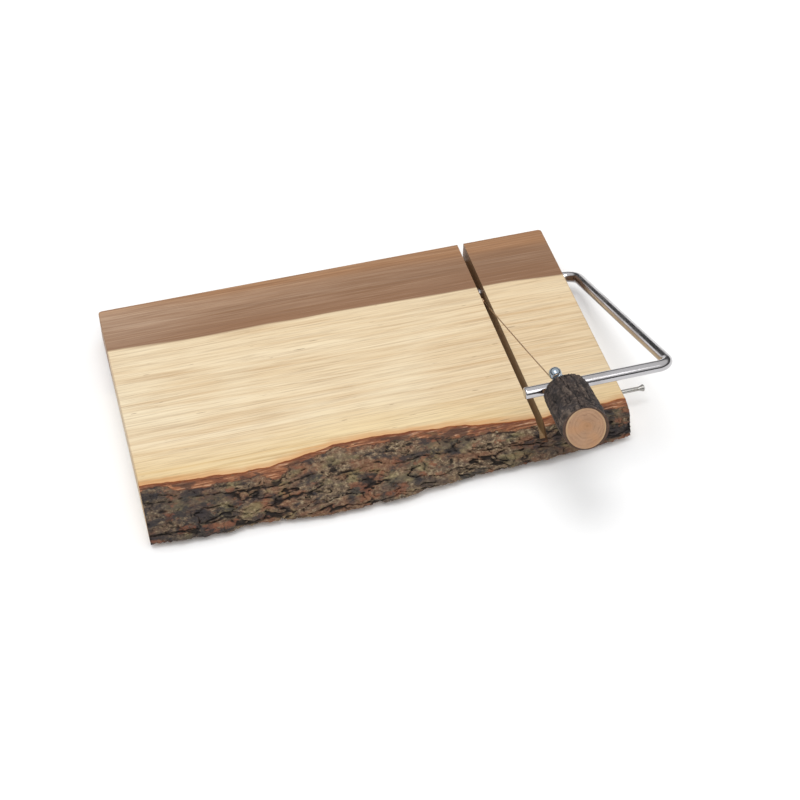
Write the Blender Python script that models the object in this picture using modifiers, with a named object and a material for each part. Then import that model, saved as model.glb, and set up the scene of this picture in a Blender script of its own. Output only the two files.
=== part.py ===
"""Live-edge cheese board with a hinged wire cutter.

A wooden slab keeps its bark along the front. A bent steel rod turns in a bore in the
slab's right end and carries a twig handle; a wire is stretched from the rod's end in the
slot to a ball stud at the handle, and drops into the slot as the handle comes down.

The origin is on the worktop under the middle of the slab. +X runs along the board to the
hinged end, +Y to the straight back edge, +Z up. Heights below are from the slab's
underside, which its frame lifts by the feet's height. Lengths are in metres.
"""
import math

import bmesh
import bpy
import numpy as np
from mathutils import Matrix, Vector

MM = 0.001
GAP = 0.3 * MM          # between pieces that touch
FINE_GAP = 0.2 * MM     # between small fittings that touch

# Slab and its natural front edge
BOARD_LENGTH = 260 * MM
BOARD_WIDTH = 136 * MM          # back edge to the mean line where wood meets bark on top
BOARD_THICKNESS = 18 * MM
BACK_Y = 75 * MM
SLOPE_REACH = 23.5 * MM         # how far the bark's foot stands out past that line
SLOPE_POWER = 1.6               # 1 is a straight slope, more is a fuller belly
BARK_THICKNESS = 5 * MM
BARK_TOP_WIDTH = 4 * MM
BARK_UNDERCUT = 2.5 * MM
BARK_FOOT_LIFT = 0.8 * MM
# Waves of the two natural lines: (share of the length, offset)
WOOD_WAVE = ((-0.50, 4.0 * MM), (-0.38, 1.0 * MM), (-0.26, -1.3 * MM), (-0.08, 5.0 * MM),
             (0.11, 1.3 * MM), (0.30, -5.9 * MM), (0.50, -4.7 * MM))
FOOT_WAVE = ((-0.50, 0.5 * MM), (-0.40, -1.8 * MM), (-0.28, -1.2 * MM), (-0.14, -4.8 * MM),
             (0.00, -4.2 * MM), (0.13, -0.3 * MM), (0.32, 1.2 * MM), (0.50, 5.6 * MM))
STATIONS = 27
SLOPE_LEVELS = 8

# Slot for the wire
SLOT_FROM_END = 49 * MM           # slab's hinged end to the slot's middle
SLOT_WIDTH = 3.7 * MM
WOOD_UNDER_SLOT = 4 * MM
SLOT_FRONT_DEPTH = 5 * MM         # shallower where the saw stopped in the bark
SAW_RADIUS = 100 * MM

# Bent rod
ROD_RADIUS = 3 * MM
PIVOT_FROM_BACK = 33.6 * MM
ROD_OVER_SLOT_FLOOR = 2 * MM
ARM_PAST_BARK = 18.9 * MM         # bark's mean foot to the handle leg's axis
ARM_RAISE = math.radians(23.3)
SIDE_LEG_CLEARANCE = 7 * MM     # slab's end to the side leg
ROD_PAST_SLOT = 18.5 * MM         # how far both legs run past the slot
REAR_BEND_RADIUS = 8.5 * MM
FRONT_BEND_RADIUS = 6.5 * MM
BORE_END_CLEARANCE = 1.5 * MM

# Stop pin
PIN_RADIUS = 1.2 * MM
PIN_HEAD_RADIUS = 2.0 * MM
PIN_HEAD_LENGTH = 3.0 * MM
PIN_BEHIND_FRONT = 7.3 * MM       # behind the mean line where wood meets bark on top
PIN_DEPTH = 25 * MM

# Stud, nut, insert and handle, along the stud's axis from the rod's axis
STUD_OFFSET = 1.2 * MM          # stud to the slot's middle, along the rod
STUD_RADIUS = 2 * MM
STUD_PITCH = math.radians(-10.3)    # from the arm's own line
STUD_YAW = math.radians(2.7)
BALL_RADIUS = 3.35 * MM
NECK_LENGTH = 2.75 * MM         # from the rod's nut to the ball, room for the wire's turns
NUT_WALL = 1.5 * MM             # stud to the nut's flats
NUT_HEIGHT = 2.4 * MM
WASHER_RIM = 2.5 * MM           # stud to the washer's edge
WASHER_HEIGHT = 0.8 * MM
STUD_IN_INSERT = 9 * MM
INSERT_WALL = 1.4 * MM
INSERT_PAST_STUD = 2 * MM
HANDLE_RADIUS = 11.35 * MM
HANDLE_BARK = 1.5 * MM
HANDLE_LENGTH = 33.3 * MM
HANDLE_REAR_ROUND = 2.0 * MM
HANDLE_FACE_SLANT = math.radians(9)
HANDLE_OVAL = 0.35 * MM
HANDLE_RISE = 0.9 * MM          # the stud enters this far below the twig's middle

# Wire
WIRE_RADIUS = 0.35 * MM
WIRE_TAIL_GAP = 0.25 * MM       # between the wire and its loop's tail beside it
WIRE_LOOP_REACH = 9 * MM        # pivot axis to where the loop closes

# Feet
FOOT_RADIUS = 7 * MM
FOOT_HEIGHT = 3 * MM
FOOT_INSET = 18 * MM            # foot's middle to the slab's edges
SCREW_RADIUS = 1.4 * MM
SCREW_HEAD_RADIUS = 2.9 * MM
SCREW_HEAD_HEIGHT = 1.4 * MM
SCREW_HEAD_RECESS = 0.4 * MM
SCREW_LENGTH = 9 * MM

ROUND_STEPS = 32

END_X = BOARD_LENGTH / 2
FRONT_Y = BACK_Y - BOARD_WIDTH              # mean line where wood meets bark on top
FOOT_Y = FRONT_Y - SLOPE_REACH              # mean line of the bark's foot
SLOT_X = END_X - SLOT_FROM_END
SLOT_DEPTH = BOARD_THICKNESS - WOOD_UNDER_SLOT
PIVOT = Vector((0, BACK_Y - PIVOT_FROM_BACK, WOOD_UNDER_SLOT + ROD_OVER_SLOT_FLOOR + ROD_RADIUS))
ARM_LENGTH = PIVOT.y - FOOT_Y + ARM_PAST_BARK
SIDE_LEG_X = END_X + SIDE_LEG_CLEARANCE + ROD_RADIUS
ROD_END_X = SLOT_X - ROD_PAST_SLOT
STUD_X = SLOT_X + STUD_OFFSET
BALL_CENTRE = ROD_RADIUS + GAP + NUT_HEIGHT + NECK_LENGTH + BALL_RADIUS
INSERT_RADIUS = STUD_RADIUS + INSERT_WALL
INSERT_LENGTH = STUD_IN_INSERT + INSERT_PAST_STUD
WIRE_SIDE_STEP = 2 * WIRE_RADIUS + WIRE_TAIL_GAP


# ---------------------------------------------------------------- workshop helpers

def clear_scene():
    for old in list(bpy.data.objects):
        bpy.data.objects.remove(old, do_unlink=True)


def new_collection(name):
    group = bpy.data.collections.new(name)
    bpy.context.scene.collection.children.link(group)
    return group


def finish(name, colour, roughness, metallic):
    """One Principled finish."""
    look = bpy.data.materials.new(name)
    look.use_nodes = True
    shader = look.node_tree.nodes["Principled BSDF"]
    shader.inputs["Base Color"].default_value = (*colour, 1)
    shader.inputs["Roughness"].default_value = roughness
    shader.inputs["Metallic"].default_value = metallic
    return look


def add_frame(name, parent, place):
    """An empty that pieces are set in."""
    frame = bpy.data.objects.new(name, None)
    PARTS.objects.link(frame)
    frame.parent = parent
    frame.matrix_local = place
    return frame


def add_piece(name, mesh, look, parent=None, place=None):
    """A named piece in the parts collection, set in its parent's frame or the slab's."""
    piece = bpy.data.objects.new(name, mesh)
    PARTS.objects.link(piece)
    mesh.materials.clear()
    mesh.materials.append(look)
    piece.parent = parent or SLAB_FRAME
    if place:
        piece.matrix_local = place
    return piece


def cut(piece, cutter):
    """Take the cutter's shape out of the piece."""
    step = piece.modifiers.new("cut_" + cutter.name, "BOOLEAN")
    step.operation = "DIFFERENCE"
    step.solver = "EXACT"
    step.object = cutter


def add_cutter(name, mesh, parent=None, place=None):
    cutter = bpy.data.objects.new(name, mesh)
    CUTTERS.objects.link(cutter)
    cutter.hide_render = True
    cutter.display_type = "WIRE"
    cutter.parent = parent or SLAB_FRAME
    if place:
        cutter.matrix_local = place
    return cutter


def mesh_from(name, builder):
    """Run a bmesh builder and keep the result, shaded smooth where it is round."""
    work = bmesh.new()
    builder(work)
    mesh = bpy.data.meshes.new(name)
    work.to_mesh(mesh)
    work.free()
    mesh.shade_smooth()
    mesh.set_sharp_from_angle(angle=math.radians(35))
    return mesh


def loft_mesh(name, rings):
    """A closed skin through rings of equal point count, with flat ends."""
    def builder(work):
        rows = [[work.verts.new(point) for point in ring] for ring in rings]
        count = len(rows[0])
        for near, far in zip(rows, rows[1:]):
            for i in range(count):
                j = (i + 1) % count
                work.faces.new((near[i], near[j], far[j], far[i]))
        work.faces.new(rows[0])
        work.faces.new(rows[-1])
        bmesh.ops.triangulate(work, faces=work.faces)
        bmesh.ops.recalc_face_normals(work, faces=work.faces)
    return mesh_from(name, builder)


def skin_mesh(name, inner, outer):
    """A closed skin between two sheets of points, each a list of equally long rows."""
    def builder(work):
        near = [[work.verts.new(point) for point in row] for row in inner]
        far = [[work.verts.new(point) for point in row] for row in outer]
        rows = len(near)
        levels = len(near[0])
        for sheet in (near, far):
            for i in range(rows - 1):
                for j in range(levels - 1):
                    work.faces.new((sheet[i][j], sheet[i + 1][j], sheet[i + 1][j + 1],
                                    sheet[i][j + 1]))
        for j in (0, levels - 1):
            for i in range(rows - 1):
                work.faces.new((near[i][j], near[i + 1][j], far[i + 1][j], far[i][j]))
        for i in (0, rows - 1):
            for j in range(levels - 1):
                work.faces.new((near[i][j], near[i][j + 1], far[i][j + 1], far[i][j]))
        bmesh.ops.triangulate(work, faces=work.faces)
        bmesh.ops.recalc_face_normals(work, faces=work.faces)
    return mesh_from(name, builder)


def rod_mesh(name, radius, low, high, sides=ROUND_STEPS):
    """A cylinder (or prism) about Z from low to high."""
    def builder(work):
        middle = Matrix.Translation((0, 0, (low + high) / 2))
        bmesh.ops.create_cone(work, cap_ends=True, segments=sides, radius1=radius,
                              radius2=radius, depth=high - low, matrix=middle)
    return mesh_from(name, builder)


def turned_piece(name, profile, look, parent=None, place=None):
    """A profile of (radius, height) points, outer side first from the top, turned about Z."""
    def builder(work):
        points = [work.verts.new((radius, 0, height)) for radius, height in profile]
        for near, far in zip(points, points[1:]):
            work.edges.new((near, far))
        on_axis = profile[0][0] == 0 and profile[-1][0] == 0
        if not on_axis:
            work.edges.new((points[-1], points[0]))
    piece = add_piece(name, mesh_from(name, builder), look, parent, place)
    turn = piece.modifiers.new("turn", "SCREW")
    turn.steps = ROUND_STEPS
    turn.render_steps = ROUND_STEPS
    turn.use_merge_vertices = True
    turn.merge_threshold = 0.00001
    turn.use_smooth_shade = True
    return piece


def arc_points(centre, radius, start, stop, steps):
    """(radius, height) points of an arc about a centre on the turning axis plane."""
    angles = np.linspace(start, stop, steps)
    return [(centre[0] + radius * math.cos(a), centre[1] + radius * math.sin(a))
            for a in angles]


def axis_frame(origin, direction):
    """A frame at origin with Z along direction and Y kept as upright as it can be."""
    z = Vector(direction).normalized()
    x = Vector((0, 0, 1)).cross(z).normalized()
    y = z.cross(x)
    turn = Matrix((x, y, z)).transposed().to_4x4()
    return Matrix.Translation(origin) @ turn


def smooth_line(knots, at):
    """Cubic curve through (place, value) knots, each slope joining its two neighbours."""
    places, values = np.array(knots).T
    slopes = np.gradient(values, places)
    low = np.clip(np.searchsorted(places, at) - 1, 0, len(places) - 2)
    width = places[low + 1] - places[low]
    t = (at - places[low]) / width
    start = values[low] * (1 + 2 * t) * (1 - t) ** 2 + slopes[low] * width * t * (1 - t) ** 2
    stop = values[low + 1] * t * t * (3 - 2 * t) - slopes[low + 1] * width * t * t * (1 - t)
    return start + stop


def rounded_path(corners, radii, steps):
    """Straight runs between corners, each inner corner rounded by an arc of its radius."""
    corners = [Vector(c) for c in corners]
    points = [corners[0]]
    for before, corner, after, radius in zip(corners, corners[1:], corners[2:], radii):
        back = (before - corner).normalized()
        ahead = (after - corner).normalized()
        half = back.angle(ahead) / 2
        centre = corner + (back + ahead).normalized() * radius / math.sin(half)
        first = corner + back * radius / math.tan(half) - centre
        axis = back.cross(ahead).normalized()
        sweep = math.pi - 2 * half
        for i in range(steps + 1):
            turn = Matrix.Rotation(-sweep * i / steps, 3, axis)
            points.append(centre + turn @ first)
    points.append(corners[-1])
    return points


def tube_mesh(name, points, radius, resolution, tips=None):
    """A round bar along the points, made a mesh; tips narrow the last points."""
    path = bpy.data.curves.new(name, "CURVE")
    path.dimensions = "3D"
    path.bevel_depth = radius
    path.bevel_resolution = resolution
    path.use_fill_caps = True
    spline = path.splines.new("POLY")
    spline.points.add(len(points) - 1)
    for slot, point in zip(spline.points, points):
        slot.co = (*point, 1)
    for index, share in (tips or {}).items():
        spline.points[index].radius = share
    holder = bpy.data.objects.new(name + "_path", path)
    CUTTERS.objects.link(holder)
    graph = bpy.context.evaluated_depsgraph_get()
    mesh = bpy.data.meshes.new_from_object(holder.evaluated_get(graph))
    bpy.data.objects.remove(holder)
    work = bmesh.new()
    work.from_mesh(mesh)
    bmesh.ops.remove_doubles(work, verts=work.verts, dist=0.000001)
    bmesh.ops.recalc_face_normals(work, faces=work.faces)
    work.to_mesh(mesh)
    work.free()
    mesh.name = name
    mesh.shade_smooth()
    mesh.set_sharp_from_angle(angle=math.radians(35))
    return mesh


# ---------------------------------------------------------------- slab and bark

def wood_line(x):
    """Where wood meets bark on top."""
    return FRONT_Y + smooth_line(WOOD_WAVE, x / BOARD_LENGTH)


def bark_foot(x):
    """The outermost line of the bark, at its foot."""
    return FOOT_Y + smooth_line(FOOT_WAVE, x / BOARD_LENGTH)


def wood_slope(x, drop):
    """The slab's front face; drop is 0 at the top and 1 at the underside."""
    run = 1 - (1 - drop) ** SLOPE_POWER
    foot = bark_foot(x) + BARK_THICKNESS
    return wood_line(x) + (foot - wood_line(x)) * run


def bark_slope(x, drop):
    """The bark's outer face, drawn in a little under its belly."""
    run = 1 - (1 - drop) ** SLOPE_POWER
    brow = wood_line(x) - BARK_TOP_WIDTH
    tuck = BARK_UNDERCUT * max(0, drop - 0.7) ** 2 / 0.09
    return brow + (bark_foot(x) - brow) * run + tuck


def make_slot_cutter():
    """Slot outline from the side: level floor, then the saw's arc up into the bark."""
    floor = WOOD_UNDER_SLOT
    rise = SLOT_DEPTH - SLOT_FRONT_DEPTH
    front = bark_foot(SLOT_X)
    arc_run = math.sqrt(2 * SAW_RADIUS * rise - rise ** 2)
    arc_start = front + arc_run
    past = 10 * MM
    over = BOARD_THICKNESS + past
    arc = [(y, floor + SAW_RADIUS - math.sqrt(SAW_RADIUS ** 2 - (y - arc_start) ** 2))
           for y in np.linspace(arc_start, front - past, 13)]
    outline = [(BACK_Y + past, over), (BACK_Y + past, floor)] + arc + [(front - past, over)]
    rings = [[(SLOT_X + side * SLOT_WIDTH / 2, y, z) for y, z in outline] for side in (-1, 1)]
    return add_cutter("slot_cutter", loft_mesh("slot_cutter", rings))


def make_slab(slot):
    drops = np.linspace(0, 1, SLOPE_LEVELS)
    rings = []
    for x in np.linspace(-END_X, END_X, STATIONS):
        front = [(x, wood_slope(x, d), BOARD_THICKNESS * (1 - d)) for d in drops]
        rings.append([(x, BACK_Y, 0), (x, BACK_Y, BOARD_THICKNESS)] + front)
    wood = finish("acacia_sapwood", (0.72, 0.53, 0.32), 0.5, 0.0)
    slab = add_piece("board", loft_mesh("board", rings), wood)
    cut(slab, slot)
    bore_end = ROD_END_X - BORE_END_CLEARANCE
    along_x = Matrix.Rotation(math.pi / 2, 4, "Y")
    bore = rod_mesh("pivot_bore", ROD_RADIUS + GAP, bore_end, END_X + 10 * MM)
    cut(slab, add_cutter("pivot_bore", bore, place=Matrix.Translation(PIVOT) @ along_x))
    pin_hole = rod_mesh("pin_bore", PIN_RADIUS + FINE_GAP, END_X - PIN_DEPTH - GAP,
                        END_X + 10 * MM)
    cut(slab, add_cutter("pin_bore", pin_hole, place=pin_place() @ along_x))
    for name, spot in foot_spots():
        pilot = rod_mesh(name + "_pilot", SCREW_RADIUS + FINE_GAP, -GAP,
                         screw_reach() + GAP, 16)
        cut(slab, add_cutter(name + "_pilot", pilot, place=Matrix.Translation(spot)))
    return slab


def make_bark(slot):
    drops = np.linspace(0, 1 - BARK_FOOT_LIFT / BOARD_THICKNESS, SLOPE_LEVELS)
    heights = BOARD_THICKNESS * (1 - drops)
    places = np.linspace(-END_X, END_X, STATIONS)
    inner = [[(x, wood_slope(x, d) - GAP, z) for d, z in zip(drops, heights)] for x in places]
    outer = [[(x, bark_slope(x, d), z) for d, z in zip(drops, heights)] for x in places]
    look = finish("rough_bark", (0.13, 0.09, 0.06), 0.9, 0.0)
    bark = add_piece("bark_edge", skin_mesh("bark_edge", inner, outer), look)
    cut(bark, slot)
    return bark


# ---------------------------------------------------------------- stop pin and feet

def pin_place():
    return Matrix.Translation((0, FRONT_Y + PIN_BEHIND_FRONT, PIVOT.z))


def make_stop_pin():
    head_start = SIDE_LEG_X + ROD_RADIUS + GAP
    tip = head_start + PIN_HEAD_LENGTH
    profile = [(0, tip), (PIN_HEAD_RADIUS * 0.75, tip), (PIN_HEAD_RADIUS, tip - 0.4 * MM),
               (PIN_HEAD_RADIUS, tip - 0.9 * MM), (PIN_RADIUS, head_start),
               (PIN_RADIUS, END_X - PIN_DEPTH + PIN_RADIUS), (0, END_X - PIN_DEPTH)]
    steel = finish("pin_steel", (0.62, 0.62, 0.60), 0.3, 1.0)
    along_x = Matrix.Rotation(math.pi / 2, 4, "Y")
    turned_piece("stop_pin", profile, steel, place=pin_place() @ along_x)


def foot_spots():
    """The four feet, a fixed inset from the edges of the slab's underside."""
    across = END_X - FOOT_INSET
    rear = BACK_Y - FOOT_INSET
    front = FOOT_Y + BARK_THICKNESS + FOOT_INSET
    return (("front_left", Vector((-across, front, 0))),
            ("front_right", Vector((across, front, 0))),
            ("back_left", Vector((-across, rear, 0))),
            ("back_right", Vector((across, rear, 0))))


def screw_reach():
    """How far a foot screw reaches into the slab."""
    return SCREW_LENGTH - (FOOT_HEIGHT - SCREW_HEAD_RECESS - SCREW_HEAD_HEIGHT)


def make_feet():
    rubber = finish("foot_rubber", (0.06, 0.055, 0.05), 0.8, 0.0)
    zinc = finish("screw_zinc", (0.6, 0.6, 0.6), 0.35, 1.0)
    hole = SCREW_RADIUS + FINE_GAP
    well = SCREW_HEAD_RADIUS + FINE_GAP
    seat = SCREW_HEAD_RECESS + SCREW_HEAD_HEIGHT + FINE_GAP - FOOT_HEIGHT
    foot = [(FOOT_RADIUS, -GAP), (FOOT_RADIUS - 0.6 * MM, -FOOT_HEIGHT),
            (well, -FOOT_HEIGHT), (well, seat), (hole, seat), (hole, -GAP)]
    bottom = SCREW_HEAD_RECESS - FOOT_HEIGHT
    under_head = bottom + SCREW_HEAD_HEIGHT
    reach = screw_reach()
    screw = [(0, reach), (SCREW_RADIUS, reach - 2.5 * SCREW_RADIUS), (SCREW_RADIUS, under_head),
             (SCREW_HEAD_RADIUS, under_head), (SCREW_HEAD_RADIUS * 0.75, bottom),
             (0, bottom)]
    for name, spot in foot_spots():
        place = Matrix.Translation(spot)
        turned_piece("foot_" + name, foot, rubber, place=place)
        turned_piece("foot_screw_" + name, screw, zinc, place=place)


# ---------------------------------------------------------------- the arm

def add_pivot():
    """The arm's frame: on the pivot axis, -Y along the arm, raised as it stands."""
    raised = Matrix.Rotation(-ARM_RAISE, 4, "X")
    return add_frame("arm_pivot", SLAB_FRAME, Matrix.Translation(PIVOT) @ raised)


def add_stud_frame(pivot):
    """The stud's frame: on the rod's axis, +Z out towards the handle's face."""
    aim = (-math.sin(STUD_YAW) * math.cos(STUD_PITCH),
           -math.cos(STUD_YAW) * math.cos(STUD_PITCH), math.sin(STUD_PITCH))
    return add_frame("stud_frame", pivot, axis_frame((STUD_X, -ARM_LENGTH, 0), aim))


def make_arm(pivot, stud_frame):
    """Pivot leg, side leg and handle leg of one bent rod, drilled across for the stud."""
    corners = ((ROD_END_X, 0, 0), (SIDE_LEG_X, 0, 0), (SIDE_LEG_X, -ARM_LENGTH, 0),
               (ROD_END_X, -ARM_LENGTH, 0))
    path = rounded_path(corners, (REAR_BEND_RADIUS, FRONT_BEND_RADIUS), 9)
    step = Vector((0.35 * ROD_RADIUS, 0, 0))
    path = [path[0], path[0] + step] + path[1:-1] + [path[-1] + step, path[-1]]
    mesh = tube_mesh("slicing_arm", path, ROD_RADIUS, 8, {0: 0.7, len(path) - 1: 0.7})
    chrome = finish("rod_chrome", (0.72, 0.72, 0.74), 0.15, 1.0)
    arm = add_piece("slicing_arm", mesh, chrome, pivot)
    hole = rod_mesh("stud_hole", STUD_RADIUS + FINE_GAP, -2 * ROD_RADIUS, 2 * ROD_RADIUS, 24)
    cut(arm, add_cutter("stud_hole", hole, stud_frame))


def nut_ring(name, low, look, stud_frame):
    corner_radius = (STUD_RADIUS + NUT_WALL) / math.cos(math.pi / 6)
    nut = add_piece(name, rod_mesh(name, corner_radius, low, low + NUT_HEIGHT, 6), look,
                    stud_frame)
    bore = rod_mesh(name + "_bore", STUD_RADIUS + FINE_GAP, low - MM, low + NUT_HEIGHT + MM, 24)
    cut(nut, add_cutter(name + "_bore", bore, stud_frame))


def make_stud(stud_frame):
    """Ball head behind the rod, plain neck for the wire's loop, thread into the handle."""
    zinc = finish("stud_zinc", (0.66, 0.69, 0.70), 0.25, 1.0)
    tip = handle_rear() + STUD_IN_INSERT
    neck_angle = math.asin(STUD_RADIUS / BALL_RADIUS)
    ball = arc_points((0, -BALL_CENTRE), BALL_RADIUS, math.pi / 2 - neck_angle, -math.pi / 2,
                      12)
    profile = [(0, tip), (STUD_RADIUS * 0.7, tip), (STUD_RADIUS, tip - 0.6 * MM)]
    profile += ball[:-1] + [(0, -BALL_CENTRE - BALL_RADIUS)]
    turned_piece("ball_stud", profile, zinc, stud_frame)
    nut_ring("rod_nut", -ROD_RADIUS - GAP - NUT_HEIGHT, zinc, stud_frame)
    nut_ring("handle_nut", ROD_RADIUS + GAP, zinc, stud_frame)
    hole = STUD_RADIUS + FINE_GAP
    low = washer_low()
    high = low + WASHER_HEIGHT
    rim = STUD_RADIUS + WASHER_RIM
    washer = [(rim, high), (rim, low), (hole, low), (hole, high)]
    turned_piece("handle_washer", washer, zinc, stud_frame)


def washer_low():
    """Where the washer under the handle starts along the stud's axis."""
    return ROD_RADIUS + GAP + NUT_HEIGHT + FINE_GAP


def handle_rear():
    """Where the handle starts along the stud's axis."""
    return washer_low() + WASHER_HEIGHT + FINE_GAP


def handle_ring(radius, along, slant):
    """A slightly oval ring of the twig; slant tips it as the saw cut does."""
    ring = []
    for a in np.arange(ROUND_STEPS) * 2 * math.pi / ROUND_STEPS:
        r = radius + HANDLE_OVAL * math.cos(2 * a + 0.7)
        x = r * math.cos(a)
        y = r * math.sin(a)
        ring.append((x, y + HANDLE_RISE, along - y * math.tan(slant)))
    return ring


def make_handle(stud_frame):
    """Twig core with a bore for its insert, and the bark sleeve left on it."""
    rear = handle_rear()
    face = rear + HANDLE_LENGTH
    core_radius = HANDLE_RADIUS - HANDLE_BARK
    slant = HANDLE_FACE_SLANT
    core_rings = [handle_ring(core_radius, rear, 0),
                  handle_ring(core_radius, (rear + face) / 2, slant / 2),
                  handle_ring(core_radius, face, slant)]
    twig = finish("twig_wood", (0.60, 0.38, 0.22), 0.6, 0.0)
    core = add_piece("handle_core", loft_mesh("handle_core", core_rings), twig, stud_frame)
    pocket = rod_mesh("insert_pocket", INSERT_RADIUS + FINE_GAP, rear - MM,
                      rear + INSERT_LENGTH + FINE_GAP, 24)
    cut(core, add_cutter("insert_pocket", pocket, stud_frame))

    inner = core_radius + FINE_GAP
    softened = HANDLE_RADIUS - HANDLE_REAR_ROUND * 0.4
    bark_rings = [handle_ring(inner, rear, 0),
                  handle_ring(softened, rear, 0),
                  handle_ring(HANDLE_RADIUS, rear + HANDLE_REAR_ROUND, 0),
                  handle_ring(HANDLE_RADIUS, (rear + face) / 2, slant / 2),
                  handle_ring(HANDLE_RADIUS, face, slant),
                  handle_ring(inner, face, slant),
                  handle_ring(inner, (rear + face) / 2, slant / 2)]
    look = finish("twig_bark", (0.06, 0.045, 0.035), 0.85, 0.0)
    add_piece("handle_bark", hoop_mesh("handle_bark", bark_rings), look, stud_frame)

    brass = finish("insert_brass", (0.70, 0.52, 0.25), 0.35, 1.0)
    bore = STUD_RADIUS + FINE_GAP
    profile = [(INSERT_RADIUS, rear + INSERT_LENGTH), (INSERT_RADIUS, rear), (bore, rear),
               (bore, rear + INSERT_LENGTH)]
    turned_piece("handle_insert", profile, brass, stud_frame)


def hoop_mesh(name, rings):
    """A sleeve: rings joined one after the other and the last to the first."""
    def builder(work):
        rows = [[work.verts.new(point) for point in ring] for ring in rings]
        count = len(rows[0])
        for near, far in zip(rows, rows[1:] + rows[:1]):
            for i in range(count):
                j = (i + 1) % count
                work.faces.new((near[i], near[j], far[j], far[i]))
        bmesh.ops.triangulate(work, faces=work.faces)
        bmesh.ops.recalc_face_normals(work, faces=work.faces)
    return mesh_from(name, builder)


# ---------------------------------------------------------------- the wire

def wire_route(pivot, stud_frame):
    """Points of the wire in the arm's frame: hooked round the rod's end leg in the slot,
    straight to the stud, past the ball, and once round the stud's neck."""
    to_arm = pivot.matrix_world.inverted() @ stud_frame.matrix_world
    neck_ring = STUD_RADIUS + FINE_GAP + WIRE_RADIUS
    ring_height = -ROD_RADIUS - GAP - NUT_HEIGHT - FINE_GAP - 1.4 * WIRE_RADIUS
    beside_ball = BALL_RADIUS + FINE_GAP + WIRE_RADIUS
    lean = math.asin((SLOT_X - (to_arm @ Vector((0, 0, -BALL_CENTRE))).x) / beside_ball)
    under_ball = to_arm @ Vector((math.sin(lean) * beside_ball, 0, -BALL_CENTRE))
    under_ball.x = SLOT_X
    below = to_arm.to_3x3() @ Vector((0, -1, 0))
    under_ball += below * math.cos(lean) * beside_ball

    aim = Vector((0, under_ball.y, under_ball.z)).normalized()
    up = Vector((1, 0, 0)).cross(aim)
    hook = ROD_RADIUS + FINE_GAP + WIRE_RADIUS
    open_half = math.acos(hook / WIRE_LOOP_REACH)
    route = [aim * (WIRE_LOOP_REACH + 1.5 * MM) + up * WIRE_RADIUS]
    for a in np.linspace(open_half, 2 * math.pi - open_half, 22):
        route.append((aim * math.cos(a) + up * math.sin(a)) * hook)
    step = WIRE_SIDE_STEP / (len(route) - 1)
    route = [p + Vector((SLOT_X + WIRE_SIDE_STEP - step * i, 0, 0))
             for i, p in enumerate(route)]
    middle = Vector((SLOT_X, 0, 0))
    route.append(middle + aim * WIRE_LOOP_REACH)
    route.append(middle + aim * (WIRE_LOOP_REACH + 4 * MM))
    route.append(under_ball - aim * BALL_RADIUS)
    route.append(under_ball + aim * BALL_RADIUS * 0.5)

    sweep = np.linspace(-0.55 * math.pi, 1.2 * math.pi, 20)
    rise = np.linspace(0, -2.6 * WIRE_RADIUS, 20)
    for a, h in zip(sweep, rise):
        local = Vector((neck_ring * math.cos(a), neck_ring * math.sin(a), ring_height + h))
        route.append(to_arm @ local)
    return route


def make_wire(pivot, stud_frame):
    steel = finish("wire_steel", (0.75, 0.72, 0.66), 0.3, 1.0)
    bpy.context.view_layer.update()
    mesh = tube_mesh("cutting_wire", wire_route(pivot, stud_frame), WIRE_RADIUS, 2)
    add_piece("cutting_wire", mesh, steel, pivot)


def build():
    slot = make_slot_cutter()
    make_slab(slot)
    make_bark(slot)
    make_stop_pin()
    make_feet()
    pivot = add_pivot()
    stud_frame = add_stud_frame(pivot)
    make_arm(pivot, stud_frame)
    make_stud(stud_frame)
    make_handle(stud_frame)
    make_wire(pivot, stud_frame)
    bpy.context.view_layer.update()


clear_scene()
PARTS = new_collection("cheese_wire_cutter")
CUTTERS = new_collection("cutters")
SLAB_FRAME = add_frame("slab_frame", None, Matrix.Translation((0, 0, FOOT_HEIGHT)))
build()
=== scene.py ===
import math

import bmesh
import bpy
import numpy as np
from mathutils import Matrix, Vector


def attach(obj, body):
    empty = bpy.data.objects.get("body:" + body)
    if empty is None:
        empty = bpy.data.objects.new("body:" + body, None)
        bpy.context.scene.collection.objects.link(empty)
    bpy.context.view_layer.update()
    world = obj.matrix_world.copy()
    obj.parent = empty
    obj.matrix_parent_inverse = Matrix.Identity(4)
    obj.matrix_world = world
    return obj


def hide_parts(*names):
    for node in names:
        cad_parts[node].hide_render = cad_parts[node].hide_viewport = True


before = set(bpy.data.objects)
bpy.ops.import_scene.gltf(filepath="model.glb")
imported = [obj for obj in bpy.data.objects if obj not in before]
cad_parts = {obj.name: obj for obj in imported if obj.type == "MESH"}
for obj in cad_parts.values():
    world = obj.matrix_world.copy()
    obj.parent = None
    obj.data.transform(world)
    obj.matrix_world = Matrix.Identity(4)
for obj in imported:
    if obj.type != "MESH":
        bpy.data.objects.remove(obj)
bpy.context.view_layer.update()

MM = 0.001

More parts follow.
